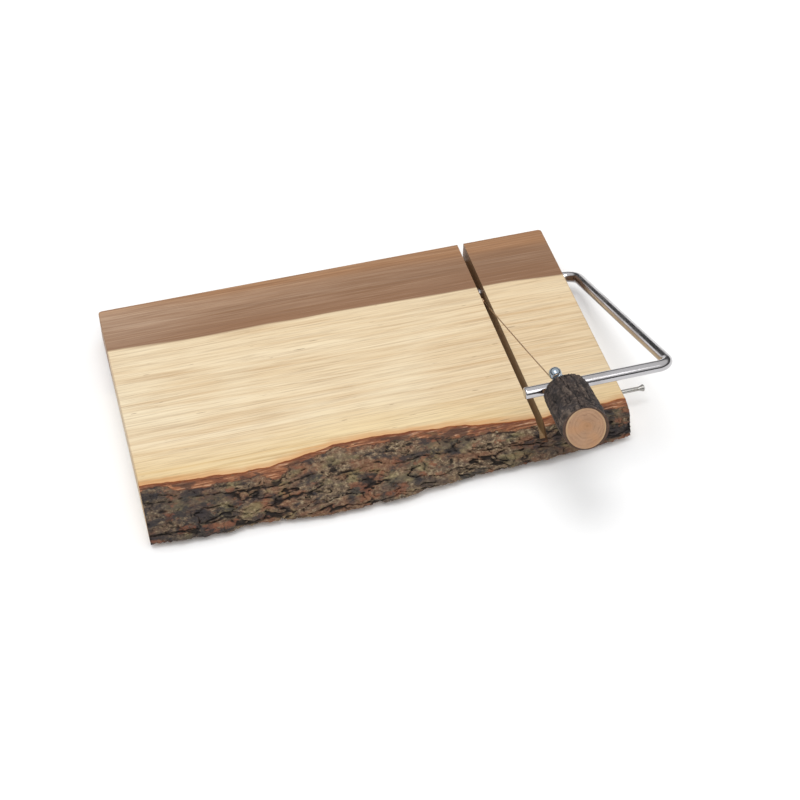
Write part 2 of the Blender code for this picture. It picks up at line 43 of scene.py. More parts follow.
# Places and sizes of the cutter, in metres. The waves are (share of length, millimetres)
# and the feet (x, y) in millimetres.
SLAB_LOW = 3 * MM
SLAB_TOP = 21 * MM
THICK = SLAB_TOP - SLAB_LOW
HALF = 130 * MM
LENGTH = 2 * HALF
BACK = 75 * MM
FRONT = -61 * MM
BARK_FOOT = -84.5 * MM
BARK_THICK = 5 * MM
BROW = 4 * MM
TUCK = 2.5 * MM
FOOT_LIFT = 0.8 * MM
BARK_DROP = 1 - FOOT_LIFT / THICK
SLOPE_POWER = 1.6
WOOD_WAVE = ((-0.50, 4.0), (-0.38, 1.0), (-0.26, -1.3), (-0.08, 5.0), (0.11, 1.3), (0.30, -5.9),
             (0.50, -4.7))
FOOT_WAVE = ((-0.50, 0.5), (-0.40, -1.8), (-0.28, -1.2), (-0.14, -4.8), (0.00, -4.2),
             (0.13, -0.3), (0.32, 1.2), (0.50, 5.6))
SLOT_X = 81 * MM
SLOT_WIDTH = 3.7 * MM
SLOT_FLOOR = 7 * MM
SLOT_FRONT = 16 * MM
SAW_RADIUS = 100 * MM
ROD = 3 * MM
PIVOT = Vector((0, 41.4 * MM, 12 * MM))
RAISE = math.radians(23.3)
ARM = 144.8 * MM
SIDE_X = 140 * MM
ROD_END = 62.5 * MM
PIN = 1.2 * MM
PIN_Y = -53.7 * MM
PIN_DEPTH = 25 * MM
PIN_HEAD = 143.3 * MM
STUD_X = 82.2 * MM
STUD_PITCH = math.radians(-10.3)
STUD_YAW = math.radians(2.7)
STUD = 2 * MM
WIRE = 0.35 * MM
FEET = ((-112, -61.5), (112, -61.5), (-112, 57), (112, 57))
TAU = 2 * math.pi

# Along the stud from the rod's middle: nut, washer and handle, with a small gap at each face
STUD_CLEAR = 0.2 * MM
ROD_CLEAR = 0.3 * MM
BALL = 3.35 * MM
BALL_BACK = 11.8 * MM
NUT_THICK = 2.4 * MM
WASHER_THICK = 0.8 * MM
WASHER_LOW = ROD + ROD_CLEAR + NUT_THICK + STUD_CLEAR
REAR = WASHER_LOW + WASHER_THICK + STUD_CLEAR
STUD_PAST_REAR = 9 * MM
INSERT_LENGTH = 11 * MM

# The handle: a twig sawn off at a slant, its middle a little off the stud
FACE = REAR + 33.3 * MM
RADIUS = 11.35 * MM
CORE = 9.85 * MM
OFF_STUD = 0.9 * MM
OVAL = 0.35 * MM
SLANT = math.radians(9)
PITH = (0.6 * MM, 2.2 * MM)


# ---- number helpers

def knot_line(knots, at):
    """Cubic through (place, value) knots, each slope joining its two neighbours."""
    places, values = np.array(knots).T
    slopes = np.gradient(values, places)
    low = np.clip(np.searchsorted(places, at) - 1, 0, len(places) - 2)
    width = places[low + 1] - places[low]
    t = (at - places[low]) / width
    rise = values[low] * (1 + 2 * t) * (1 - t) ** 2 + slopes[low] * width * t * (1 - t) ** 2
    fall = values[low + 1] * t * t * (3 - 2 * t) - slopes[low + 1] * width * t * t * (1 - t)
    return rise + fall


def scatter(cells, seed):
    """A fixed number from 0 to 1 for each whole-number cell: the seed's 32 bits, crossed with
    each place times a prime, and multiplied and folded on themselves each time."""
    low_bits = 0xFFFFFFFF
    mixed = np.full(cells.shape[:-1], seed * 2654435761 & low_bits, np.uint64)
    for axis, prime in enumerate((73856093, 19349663, 83492791)[:cells.shape[-1]]):
        mixed ^= (cells[..., axis].astype(np.int64) * prime & low_bits).astype(np.uint64)
        mixed = (mixed * np.uint64(2246822519)) & np.uint64(low_bits)
        mixed ^= mixed >> np.uint64(15)
    mixed = (mixed * np.uint64(3266489917)) & np.uint64(low_bits)
    mixed ^= mixed >> np.uint64(13)
    return mixed.astype(float) / low_bits


def mottle(points, seed):
    """Smooth lumps from 0 to 1: scattered corner values, eased between whole numbers."""
    base = np.floor(points)
    t = ease(0, 1, points - base)
    total = 0.0
    for corner in np.ndindex(*(2,) * points.shape[-1]):
        share = np.prod(np.where(np.array(corner) == 1, t, 1 - t), axis=-1)
        total = total + share * scatter(base + np.array(corner), seed)
    return total


def rough(points, seed, layers):
    """Lumps on lumps: each layer twice as fine and half as high as the last."""
    total, weight, size = 0.0, 0.0, 1.0
    for layer in range(layers):
        total = total + size * mottle(points * 2.0 ** layer, seed + layer)
        weight += size
        size *= 0.5
    return total / weight


def field(seed, layers, *places):
    """Lumps on lumps over places given one axis at a time."""
    return rough(np.stack(np.broadcast_arrays(*places), -1), seed, layers)


def ease(low, high, value):
    """0 below low, 1 above high, and between them the S that is 3 t squared less 2 t cubed."""
    t = np.clip((value - low) / (high - low), 0, 1)
    return t * t * (3 - 2 * t)


# ---- mesh helpers

def put_mesh(name, points, faces):
    """Points and faces as one piece in the scene."""
    mesh = bpy.data.meshes.new(name)
    mesh.from_pydata(np.asarray(points).reshape(-1, 3).tolist(), [], faces)
    piece = bpy.data.objects.new(name, mesh)
    bpy.context.scene.collection.objects.link(piece)
    return piece


def tidy_mesh(piece, sharp):
    """Merge doubles, turn faces outward, and shade smooth up to an angle in degrees."""
    work = bmesh.new()
    work.from_mesh(piece.data)
    bmesh.ops.remove_doubles(work, verts=work.verts, dist=1e-7)
    bmesh.ops.dissolve_degenerate(work, edges=work.edges, dist=1e-8)
    bmesh.ops.recalc_face_normals(work, faces=work.faces)
    work.to_mesh(piece.data)
    work.free()
    return soften(piece, sharp)


def soften(piece, sharp):
    """Shade smooth, but keep edges that turn more than sharp degrees."""
    piece.data.shade_smooth()
    piece.data.set_sharp_from_angle(angle=math.radians(sharp))
    return piece


def band_faces(rows, around, close_rows):
    """Quads between neighbouring rows of points: each point, the one in the next row, and
    both their neighbours around."""
    i = np.arange(rows if close_rows else rows - 1)[:, None] * around
    j = np.arange(around)[None, :]
    far = (i + around) % (rows * around)
    nxt = (j + 1) % around
    return np.stack((i + j, far + j, far + nxt, i + nxt), -1).reshape(-1, 4).tolist()


def skin(name, rings, caps="fan", sharp=38, notes=None):
    """A closed body through rings of points, (rows, around, 3). Its two ends close on a
    middle point (fan), strip across (strip), join each other (loop) or stay as they are
    (open). A body without middle points can take notes: (rows, around) numbers by name."""
    rows, around = rings.shape[:2]
    faces = band_faces(rows, around, caps == "loop")
    points = rings.reshape(-1, 3)
    starts = (0, (rows - 1) * around)
    if caps == "fan":
        j = np.arange(around)
        for start, ring in zip(starts, (rings[0], rings[-1])):
            hub = np.full(around, len(points))
            faces += np.stack((start + j, start + (j + 1) % around, hub), -1).tolist()
            points = np.vstack((points, ring.mean(0)))
    if caps == "strip":
        j = np.arange(around // 2 - 1)
        for start in starts:
            end = start + around - 1
            faces += np.stack((start + j, start + j + 1, end - 1 - j, end - j), -1).tolist()
    piece = put_mesh(name, points, faces)
    for note, values in (notes or {}).items():
        tag(piece, note, values)
    return tidy_mesh(piece, sharp)


def placed(piece, place):
    """The piece with its points moved into a place's frame."""
    piece.data.transform(place)
    return piece


def tag(piece, name, values):
    """A number on each of the piece's points, for its finish to read."""
    note = piece.data.attributes.new(name, "FLOAT", "POINT")
    note.data.foreach_set("value", np.asarray(values, np.float32).ravel())


def spots(piece):
    """The piece's points as an array."""
    flat = np.zeros(len(piece.data.vertices) * 3, np.float32)
    piece.data.vertices.foreach_get("co", flat)
    return flat.reshape(-1, 3).astype(float)


def take_out(piece, tools):
    """Cut the tools' shapes out of the piece and drop them."""
    for tool in tools:
        step = piece.modifiers.new("cut", "BOOLEAN")
        step.operation = "DIFFERENCE"
        step.solver = "EXACT"
        step.object = tool
    graph = bpy.context.evaluated_depsgraph_get()
    done = bpy.data.meshes.new_from_object(piece.evaluated_get(graph))
    piece.modifiers.clear()
    piece.data = done
    for tool in tools:
        bpy.data.objects.remove(tool)
    return piece


def even_angles(count):
    """Even angles once around."""
    return np.arange(count) * TAU / count


def turned(radius, height, a):
    """Points at a radius and height, turned by the angle a about Z."""
    parts = radius * np.cos(a), radius * np.sin(a), height
    return np.stack(np.broadcast_arrays(*parts), -1)


def lathe(name, profile, place):
    """A (radius, height) profile turned about the place's Z axis. A profile whose two ends
    are on the axis closes by itself; any other is joined end to start."""
    profile = np.asarray(profile, float)
    solid = profile[0, 0] == 0
    rings = turned(profile[:, :1], profile[:, 1:], even_angles(64))
    return placed(skin(name, rings, "open" if solid else "loop"), place)


def round_bar(centre, radius, low, high):
    """A plain bar about centre's Z axis from low to high, as a cutting tool."""
    rings = turned(radius, np.array(((low,), (high,))), even_angles(48))
    return placed(skin("tool", rings), centre)


def rounded(corners, radii, steps):
    """Straight runs between corners. Each inner corner is an arc of its radius: its centre
    is radius / sin(half the corner's angle) along the middle line from the corner."""
    corners = [Vector(c) for c in corners]
    points = [corners[0]]
    for before, corner, after, radius in zip(corners, corners[1:], corners[2:], radii):
        back = (before - corner).normalized()
        ahead = (after - corner).normalized()
        half = back.angle(ahead) / 2
        centre = corner + (back + ahead).normalized() * radius / math.sin(half)
        first = corner + back * radius / math.tan(half) - centre
        axis = back.cross(ahead).normalized()
        sweep = math.pi - 2 * half
        for i in range(steps + 1):
            points.append(centre + Matrix.Rotation(-sweep * i / steps, 3, axis) @ first)
    points.append(corners[-1])
    return np.array(points)


def tube_rings(path, radii, around):
    """Circles across the path. Each takes the last one's side, less what lies along the
    path there, so that they don't twist."""
    path = np.asarray(path, float)
    ahead = np.gradient(path, axis=0)
    ahead /= np.linalg.norm(ahead, axis=1)[:, None]
    side = np.cross(ahead[0], (0.31, 0.52, 0.8))
    sides = []
    for way in ahead:
        side = side - way * (side @ way)
        side = side / np.linalg.norm(side)
        sides.append(side)
    sides = np.array(sides)
    ups = np.cross(ahead, sides)
    turn = even_angles(around)
    return (path[:, None] + radii[:, None, None] * (sides[:, None] * np.cos(turn)[:, None]
            + ups[:, None] * np.sin(turn)[:, None]))


# ---- frames of the arm

def axis_frame(origin, direction):
    """Z along direction, Y as upright as it can be."""
    z = Vector(direction).normalized()
    x = Vector((0, 0, 1)).cross(z).normalized()
    turn = Matrix((x, z.cross(x), z)).transposed().to_4x4()
    return Matrix.Translation(origin) @ turn


# The arm as it stands, the stud through it, whose Z axis points to the handle, and the pin
ARM_FRAME = Matrix.Translation(PIVOT) @ Matrix.Rotation(-RAISE, 4, "X")
STUD_FRAME = ARM_FRAME @ axis_frame(
    (STUD_X, -ARM, 0), (-math.sin(STUD_YAW) * math.cos(STUD_PITCH),
                        -math.cos(STUD_YAW) * math.cos(STUD_PITCH), math.sin(STUD_PITCH)))
ALONG_X = Matrix.Rotation(math.pi / 2, 4, "Y")
PIN_FRAME = Matrix.Translation((0, PIN_Y, PIVOT.z)) @ ALONG_X


# ---- finishes

class Finish:
    """A procedural finish: short names for the nodes that it is made of."""

    def __init__(self, name):
        self.look = bpy.data.materials.new(name)
        self.look.use_nodes = True
        self.tree = self.look.node_tree
        self.shader = self.tree.nodes["Principled BSDF"]
        self.place = self.tree.nodes.new("ShaderNodeTexCoord").outputs["Object"]

    def add(self, kind, **settings):
        """A new node with these settings."""
        node = self.tree.nodes.new("ShaderNode" + kind)
        for key, value in settings.items():
            setattr(node, key, value)
        return node

    def put(self, socket, value):
        """Link the value to the socket, or set it there. A colour is red, green and blue."""
        if isinstance(value, bpy.types.NodeSocket):
            self.tree.links.new(value, socket)
        else:
            socket.default_value = tone(*value) if isinstance(value, tuple) else value

    def noise(self, scale, shift=(0, 0, 0), detail=4.0, roughness=0.5, source=None):
        """Noise from 0 to 1 over the place, or source, with its own scale along each axis."""
        spread = self.add("Mapping")
        self.put(spread.inputs["Vector"], source or self.place)
        spread.inputs["Location"].default_value = shift
        spread.inputs["Scale"].default_value = scale
        node = self.add("TexNoise")
        self.put(node.inputs["Vector"], spread.outputs["Vector"])
        node.inputs["Scale"].default_value = 1.0
        node.inputs["Detail"].default_value = detail
        node.inputs["Roughness"].default_value = roughness
        return node.outputs["Fac"]

    def math(self, operation, a, b=0.0):
        """The sum, difference or the like of a and b."""
        node = self.add("Math", operation=operation)
        self.put(node.inputs[0], a)
        self.put(node.inputs[1], b)
        return node.outputs[0]

    def times(self, a, b):
        """The product of a and b."""
        return self.math("MULTIPLY", a, b)

    def sway(self, value, noise, reach):
        """The value moved by noise, up to half of reach each way."""
        return self.math("ADD", value, self.times(self.math("SUBTRACT", noise, 0.5), reach))

    def step(self, value, low, high, to_low=0.0, to_high=1.0):
        """Low to high made to_low to to_high along an S."""
        node = self.add("MapRange", interpolation_type="SMOOTHSTEP")
        for socket, number in zip(("Value", "From Min", "From Max", "To Min", "To Max"),
                                  (value, low, high, to_low, to_high)):
            self.put(node.inputs[socket], number)
        return node.outputs["Result"]

    def ramp(self, value, *stops):
        """Colours along a value: (place, colour) stops."""
        node = self.add("ValToRGB")
        self.put(node.inputs["Fac"], value)
        fill_ramp(node, [(at, tone(*shade)) for at, shade in stops])
        return node.outputs["Color"]

    def blend(self, share, a, b):
        """Colour a, with a share of b over it."""
        node = self.add("Mix", data_type="RGBA")
        self.put(node.inputs["Factor"], share)
        self.put(node.inputs["A"], a)
        self.put(node.inputs["B"], b)
        return node.outputs["Result"]

    def coats(self, colour, *coats):
        """Colours laid one over another. Each coat is a value, the low and high that it goes
        between, the shares covered at low and at high, and the coat's red, green and blue."""
        for value, low, high, at_low, at_high, shade in coats:
            share = self.step(value, low, high, at_low, at_high)
            colour = self.blend(share, colour, shade)
        return colour

    def note(self, name):
        """A number that the piece's points carry."""
        return self.add("Attribute", attribute_name=name).outputs["Fac"]

    def axis(self, letter, source=None):
        """One of a place's three numbers."""
        node = self.add("SeparateXYZ")
        self.put(node.inputs[0], source or self.place)
        return node.outputs[letter]

    def two(self, x, y):
        """A flat place made of two numbers."""
        node = self.add("CombineXYZ")
        self.put(node.inputs["X"], x)
        self.put(node.inputs["Y"], y)
        return node.outputs[0]

    def slot_wall(self, low, high, share):
        """The share on the saw cut's walls, gone between low and high from its middle."""
        off = self.math("ABSOLUTE", self.math("SUBTRACT", self.axis("X"), SLOT_X))
        return self.step(off, low, high, share, 0.0)

    def faces_along(self):
        """1 on faces that look along the log, such as a saw cut's walls."""
        facing = self.axis("X", self.add("NewGeometry").outputs["True Normal"])
        return self.step(self.math("ABSOLUTE", facing), 0.80, 0.95)

    def finish(self, colour, roughness, metallic=0.0, height=None, depth=0.0, **sockets):
        """Colour, gloss and other numbers on the shader, and bumps up to depth metres high."""
        self.put(self.shader.inputs["Base Color"], colour)
        self.put(self.shader.inputs["Roughness"], roughness)
        self.shader.inputs["Metallic"].default_value = metallic
        for name, value in sockets.items():
            self.shader.inputs[name.replace("_", " ")].default_value = value
        if height is not None:
            bump = self.add("Bump")
            bump.inputs["Strength"].default_value = 1.0
            bump.inputs["Distance"].default_value = depth
            self.put(bump.inputs["Height"], height)
            self.put(self.shader.inputs["Normal"], bump.outputs["Normal"])
        return self.look


def fill_ramp(node, stops):
    """Put (place, linear colour) stops on a colour ramp."""
    line = node.color_ramp.elements
    while len(line) < len(stops):
        line.new(0.5)
    for stop, (at, colour) in zip(line, stops):
        stop.position = at
        stop.color = colour


def tone(red, green, blue):
    """A colour as a paint chart gives it, 0 to 255, made linear and opaque: its share of 255,
    plus 0.055 and over 1.055, to the power 2.4, or over 12.92 where it is dark."""
    share = np.array((red, green, blue)) / 255.0
    linear = np.where(share <= 0.04045, share / 12.92, ((share + 0.055) / 1.055) ** 2.4)
    return (*linear.tolist(), 1)


def slab_wood():
    """Straight-grained pale sapwood, a brown heartwood stripe along the back. Growth rings
    are cylinders about the log's pith, which lies behind and under the back edge: the
    distance from it, swayed by noise and by the log's taper, is the place in the rings."""
    f = Finish("slab_wood")
    pith_y, pith_z, taper = 0.118, -0.045, 0.028
    heart_edge = 0.1028
    x = f.axis("X")
    behind = f.math("SUBTRACT", f.axis("Y"), pith_y)
    under = f.math("SUBTRACT", f.axis("Z"), pith_z)
    radius = f.math("SQRT", f.math("ADD", f.times(behind, behind), f.times(under, under)))
    radius = f.sway(radius, f.noise((7, 60, 60), detail=3.0), 0.004)
    radius = f.sway(radius, f.noise((9, 22, 22), (3, 1, 7), 2.0), 0.006)
    radius = f.math("SUBTRACT", radius, f.times(x, taper))
    place = f.two(radius, f.times(x, 0.016))
    rings = f.noise((360, 360, 1), detail=6.0, roughness=0.70, source=place)
    broad = f.noise((85, 85, 1), detail=2.0, source=place)
    streak = f.noise((20, 2400, 2400), (8, 2, 6), 3.0, 0.6)
    fibre = f.noise((24, 1100, 1100), roughness=0.62)
    pores = f.noise((60, 2200, 2200), (5, 5, 5), 2.0)
    cloud = f.noise((12, 20, 20), (2, 9, 4), 2.0)
    fleck = f.noise((85, 900, 900), (7, 1, 3), 1.0)
    from_bark = f.note("from_bark")

    sap = f.ramp(rings, (0.30, (206, 174, 132)), (0.46, (229, 207, 170)),
                 (0.60, (238, 220, 186)), (0.76, (215, 187, 146)))
    sap = f.coats(
        sap, (broad, 0.38, 0.72, 0.0, 0.42, (216, 188, 146)),
        (streak, 0.50, 0.66, 0.0, 0.28, (186, 150, 108)),
        (cloud, 0.45, 0.75, 0.0, 0.45, (242, 230, 200)),
        (from_bark, 0.0, 0.030, 0.40, 0.0, (228, 196, 126)),
        (f.sway(from_bark, rings, 0.008), 0.0, 0.0048, 0.60, 0.0, (200, 130, 62)),
        (x, -0.02, 0.10, 0.0, 0.22, (206, 174, 130)))
    heart = f.ramp(rings, (0.28, (122, 88, 62)), (0.45, (154, 120, 92)),
                   (0.60, (178, 148, 122)), (0.80, (134, 100, 72)))
    heart = f.coats(
        heart, (broad, 0.4, 0.7, 0.0, 0.5, (172, 124, 84)),
        (x, -0.13, -0.05, 0.45, 0.0, (190, 162, 138)),
        (x, -0.12, 0.13, 0.0, 0.70, (128, 92, 64)),
        (radius, 0.088, 0.102, 0.0, 0.45, (126, 88, 60)),
        (radius, 0.0805, 0.0860, 0.55, 0.0, (180, 130, 86)),
        (streak, 0.46, 0.64, 0.0, 0.40, (112, 78, 54)),
        (streak, 0.44, 0.32, 0.0, 0.30, (196, 166, 138)))
    colour = f.blend(f.step(radius, heart_edge, heart_edge + 0.0014, 1.0, 0.0), sap, heart)
    grainy = f.step(radius, heart_edge, heart_edge + 0.0016, 0.5, 0.26)
    colour = f.coats(
        colour, (fibre, 0.42, 0.68, 0.0, grainy, (132, 94, 62)),
        (pores, 0.60, 0.72, 0.0, 0.25, (116, 80, 50)),
        (fleck, 0.745, 0.80, 0.0, 0.6, (112, 76, 46)))
    # Painted shade: the saw slot's walls above its floor are darkened as though shaded deep in
    # the narrow cut.
    above = f.step(f.axis("Z"), 0.0066, 0.0069)
    colour = f.blend(f.times(f.slot_wall(0.00186, 0.00190, 0.6), above), colour,
                     (150, 118, 84))
    colour = f.coats(colour, (f.math("ABSOLUTE", x), 0.1292, 0.1299, 0.0, 0.35, (150, 112, 74)))
    height = f.math("ADD", f.times(fibre, 0.6), f.times(rings, 0.4))
    return f.finish(colour, f.step(fibre, 0.2, 0.8, 0.46, 0.62), height=height, depth=0.00005,
                    Coat_Weight=0.04, Coat_Roughness=0.4)


def bark_look():
    """Granular crust from olive tan to grey and red-brown, with painted shade making the cracks
    black, and above it the red-brown inner bark with pale fibres, left bare along the wood.
    The two meet in a dark torn edge, where crust times one less crust is greatest."""
    f = Finish("slab_bark")
    relief = f.note("relief")
    depth = f.note("from_wood")
    crust = f.note("crust")
    x = f.axis("X")
    patch = f.noise((45, 80, 80), roughness=0.62)
    fleck = f.noise((520, 700, 700), (4, 2, 1), roughness=0.7)
    warm = f.noise((38, 80, 80), (9, 3, 3), roughness=0.6)
    moss = f.noise((70, 120, 120), (1, 8, 5), roughness=0.6)
    fibre = f.noise((70, 1300, 1300), roughness=0.6)
    soot = f.noise((75, 150, 150), (2, 4, 9), 5.0, 0.65)
    rust = f.noise((90, 170, 170), (5, 2, 8), 5.0, 0.65)
    shade = f.noise((110, 260, 260), (6, 6, 6), roughness=0.6)

    # The crust is darker towards both ends of the log and has a little less soot in the middle.
    far = f.math("ADD", f.math("ABSOLUTE", x), f.times(warm, 0.05))
    soot_less_mid = f.step(far, 0.080, 0.135, 0.06, 0.0)
    colour = f.ramp(fleck, (0.28, (44, 34, 28)), (0.42, (92, 74, 60)),
                    (0.55, (132, 112, 88)), (0.70, (186, 168, 138)))
    colour = f.coats(
        colour, (warm, 0.46, 0.64, 0.0, 0.6, (124, 80, 56)),
        (moss, 0.50, 0.64, 0.0, 0.55, (134, 124, 86)),
        (patch, 0.48, 0.64, 0.0, 0.6, (64, 56, 54)),
        (far, 0.095, 0.135, 0.0, 0.35, (48, 42, 42)),
        (f.math("SUBTRACT", soot, soot_less_mid), 0.44, 0.56, 0.0, 0.8, (42, 40, 44)),
        (rust, 0.54, 0.66, 0.0, 0.7, (134, 84, 60)),
        # Painted shade: where the relief sinks into cracks, the crust is painted nearly black.
        (relief, 0.46, 0.16, 0.0, 0.92, (24, 18, 16)),
        (relief, 0.66, 0.95, 0.0, 0.5, (176, 154, 122)))
    inner = f.ramp(fibre, (0.32, (82, 44, 30)), (0.45, (134, 84, 56)),
                   (0.57, (166, 114, 80)), (0.70, (214, 178, 148)))
    inner = f.coats(
        inner, (shade, 0.46, 0.60, 0.0, 0.7, (104, 62, 46)),
        (depth, 0.0005, 0.0022, 0.8, 0.0, (112, 56, 28)),
        (depth, 0.0, 0.0007, 0.9, 0.0, (186, 114, 56)),
        (patch, 0.50, 0.56, 0.0, f.step(depth, 0.0012, 0.0025, 0.0, 0.8),
        (74, 52, 42)),
        (relief, 0.05, 0.20, 1.0, 0.0, (112, 82, 56)))
    colour = f.blend(crust, inner, colour)
    torn = f.times(f.times(crust, f.math("SUBTRACT", 1.0, crust)), 4.0)
    dark = f.step(fleck, 0.3, 0.6, 0.9, 0.3)
    colour = f.coats(colour, (torn, 0.2, 0.9, 0.0, dark, (36, 26, 22)))
    sawn = f.times(f.slot_wall(0.00187, 0.00192, 1.0), f.faces_along())
    colour = f.blend(sawn, colour, (112, 82, 56))
    height = f.math("ADD", f.times(fleck, 0.7), f.times(moss, 0.3))
    return f.finish(colour, f.step(fleck, 0.2, 0.8, 0.66, 0.92), height=height, depth=0.0006,
                    Specular_IOR_Level=0.35)


def twig_bark_look():
    """Dark grey-brown bark with fine lengthwise furrows."""
    f = Finish("twig_bark")
    relief = f.note("relief")
    fleck = f.noise((500, 500, 500), roughness=0.65)
    patch = f.noise((120, 120, 120), (3, 3, 3), 3.0)
    colour = f.ramp(fleck, (0.30, (30, 24, 22)), (0.5, (62, 51, 46)),
                    (0.72, (104, 90, 80)))
    colour = f.coats(
        colour, (patch, 0.5, 0.66, 0.0, 0.5, (50, 46, 50)),
        # Painted shade: where the relief sinks into furrows, the bark is painted nearly black.
        (relief, 0.54, 0.36, 0.0, 0.85, (24, 19, 18)),
        (relief, 0.60, 0.76, 0.0, 0.55, (128, 112, 98)),
        (f.note("along"), 0.985, 1.0, 0.0, 0.6, (92, 66, 50)))
    return f.finish(colour, 0.78, height=fleck, depth=0.0004)


def twig_wood_look():
    """Sawn end grain: rings about a pith off the middle and a lighter rim. The distance
    from the pith, swayed by noise, is the place in the rings."""
    f = Finish("twig_wood")
    out = f.note("from_pith")
    rim = f.note("from_rim")
    waver = f.noise((260, 260, 260), detail=3.0)
    fine = f.noise((1600, 1600, 1600), detail=3.0)
    blush = f.noise((110, 110, 110), (2, 5, 1), 2.0)
    place = f.two(f.sway(out, waver, 0.0030), 0.0)
    bands = f.step(f.noise((900, 1, 1), roughness=0.6, source=place), 0.40, 0.64)
    colour = f.blend(f.times(bands, f.step(waver, 0.3, 0.7, 0.25, 0.75)),
                     (180, 143, 112), (138, 100, 72))
    colour = f.coats(
        colour, (out, 0.0, 0.0055, 0.45, 0.0, (150, 112, 80)),
        (out, 0.0003, 0.0011, 0.6, 0.0, (118, 86, 60)),
        (rim, 0.0, 0.0011, 0.75, 0.0, (200, 168, 130)),
        (fine, 0.4, 0.7, 0.0, 0.22, (150, 108, 78)),
        (blush, 0.45, 0.65, 0.0, 0.5, (188, 138, 94)))
    return f.finish(colour, 0.62, height=fine, depth=0.0001)


def metal_look(name, colour, dull, low, high, fineness=900):
    """Plated or drawn metal: its gloss goes from low to high and its colour towards dull
    with smudges and fine marks."""
    f = Finish(name)
    marks = f.noise((fineness,) * 3, roughness=0.6)
    smudge = f.noise((70, 70, 70), (5, 1, 2), 3.0)
    shade = f.coats(
        colour, (smudge, 0.4, 0.75, 0.0, 0.5, dull),
        (marks, 0.55, 0.8, 0.0, 0.25, dull))
    gloss = f.math("ADD", f.step(smudge, 0.3, 0.8, low, high), f.times(marks, 0.05))
    return f.finish(shade, gloss, 1.0, height=marks, depth=0.00001)


def rubber_look():
    """Matt moulded rubber with dust and fine grain."""
    f = Finish("foot_rubber")
    grain = f.noise((2500, 2500, 2500), detail=3.0)
    dust = f.noise((260, 260, 260))
    colour = f.coats((38, 36, 34), (dust, 0.5, 0.75, 0.0, 0.35, (84, 80, 76)))
    return f.finish(colour, f.step(dust, 0.3, 0.7, 0.65, 0.85), height=grain, depth=0.00006)


def floor_look():
    """Pale matt backdrop paper."""
    f = Finish("pale_floor")
    tooth = f.noise((900, 900, 900), detail=2.0)
    colour = f.blend(tooth, (250, 250, 250), (253, 253, 253))
    return f.finish(colour, 0.9, Specular_IOR_Level=0.0)


# ---- slab and bark

def wobble(x, seed, reach):
    """Small uneven waves along the log: three layers of lumps 7 mm long, reach to a side."""
    return (field(seed, 3, x / (7 * MM), 0.0) - 0.5) * 2 * reach


def wood_edge(x):
    """Where wood meets bark on top: the front line, its waves and small wobbles."""
    return FRONT + knot_line(WOOD_WAVE, x / LENGTH) * MM + wobble(x, 11, 0.8 * MM)


def bark_foot(x):
    """The bark's outermost line: the foot line and its waves."""
    return BARK_FOOT + knot_line(FOOT_WAVE, x / LENGTH) * MM


def run_of(drop):
    """How far the natural edge has run out at a share of the slab's thickness down: one less
    what is left of the share, to the slope's power."""
    return 1 - (1 - np.clip(drop, 0, 1)) ** SLOPE_POWER


def wood_face(x, drop):
    """The wood's natural front under its bark, from the edge on top to the foot."""
    foot = bark_foot(x) + BARK_THICK
    return wood_edge(x) + (foot - wood_edge(x)) * run_of(drop)


def bark_face(x, drop):
    """The bark's outer face from brow to foot. Under its belly, the last 0.3 of the way, it
    is drawn in by TUCK times the square of the share gone."""
    brow = wood_edge(x) - BROW
    belly = 0.7
    tuck = TUCK * (np.maximum(0, drop - belly) / (1 - belly)) ** 2
    return brow + (bark_foot(x) - brow) * run_of(drop) + tuck


def slot_tool():
    """The saw's way: a level floor from the back, then an arc rising to the front. The arc
    starts where a circle of the saw's radius has the right height at the bark's foot."""
    over = 8 * MM
    ahead = 12 * MM
    rise = SLOT_FRONT - SLOT_FLOOR
    front = float(bark_foot(np.array(SLOT_X)))
    start = front + math.sqrt(2 * SAW_RADIUS * rise - rise ** 2)
    y = np.linspace(start, front - ahead, 60)
    z = SLOT_FLOOR + SAW_RADIUS - np.sqrt(SAW_RADIUS ** 2 - (y - start) ** 2)
    top = SLAB_TOP + over
    outline = np.vstack(([BACK + over, top], [BACK + over, SLOT_FLOOR],
                         np.stack((y, z), -1), [front - ahead, top]))
    sides = [np.column_stack((np.full(len(outline), SLOT_X + side * SLOT_WIDTH / 2), outline))
             for side in (-1, 1)]
    return skin("slot_tool", np.stack(sides))


def end_stations(inner, ease_by, steps):
    """Places along the log, close together where the ends are eased, and the ease there:
    a quarter circle, so the last ring is drawn in by its radius."""
    turn = np.linspace(0, math.pi / 2, steps)
    out = HALF - ease_by * (1 - np.sin(turn))
    drawn = ease_by * (1 - np.cos(turn))
    places = np.concatenate((-out[::-1], inner, out))
    return places, np.concatenate((drawn[::-1], 0 * inner, drawn))


def along_log(x, ys, zs):
    """A ring across the log at each x, from runs of Y and of Z places joined in order."""
    return np.stack(np.broadcast_arrays(x, np.hstack(ys), np.hstack(zs)), -1)


